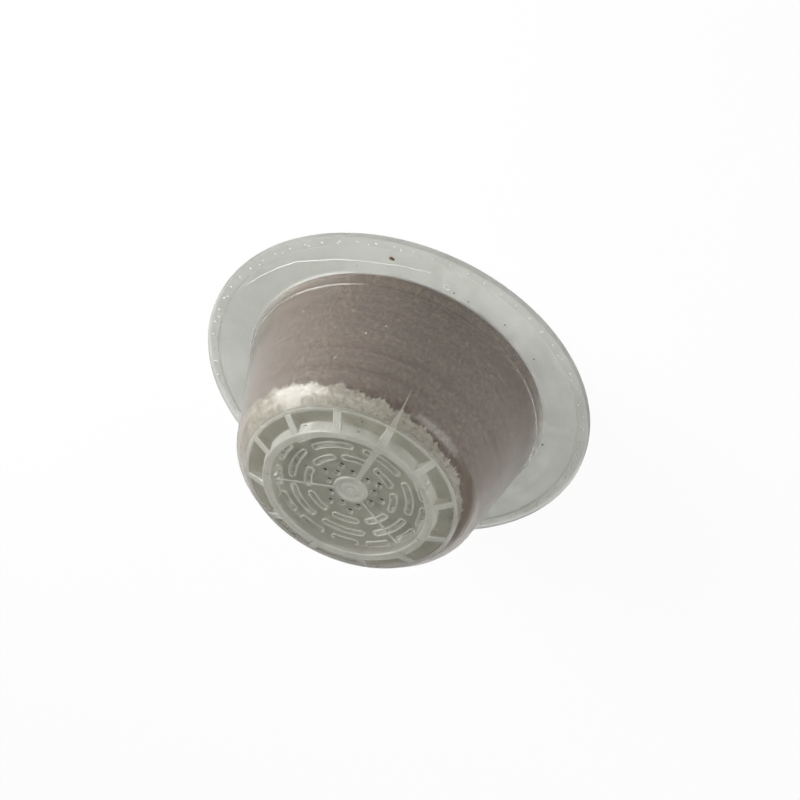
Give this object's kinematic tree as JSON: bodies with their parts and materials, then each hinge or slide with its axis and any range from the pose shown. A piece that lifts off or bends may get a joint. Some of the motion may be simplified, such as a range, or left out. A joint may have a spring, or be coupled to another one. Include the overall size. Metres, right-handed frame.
{
  "type": "coffee pod",
  "caption": "Round single-serve coffee pod: a frosted flanged cup with a slotted, ribbed base, sealed by a film, holding ground coffee over a paper filter.",
  "frame": {"origin": "centre of the lid film's underside, which is what the pod rests on", "axes": "+Z along the cup's axis, from the lid towards the perforated base; -Y is the side the wide flow mark on the base points to"},
  "size_m": [0.05, 0.05, 0.0207],
  "materials": {
    "cup": "frosted, see-through polypropylene",
    "filter_paper": "fibrous, with a frayed edge",
    "ground_coffee": "fine dry grounds, pressed",
    "lid_film": "thin heat-sealed film"
  },
  "bodies": {
    "root": {"cup": "cup", "filter_paper": "filter_paper", "ground_coffee": "ground_coffee", "lid_film": "lid_film"}
  },
  "joints": []
}
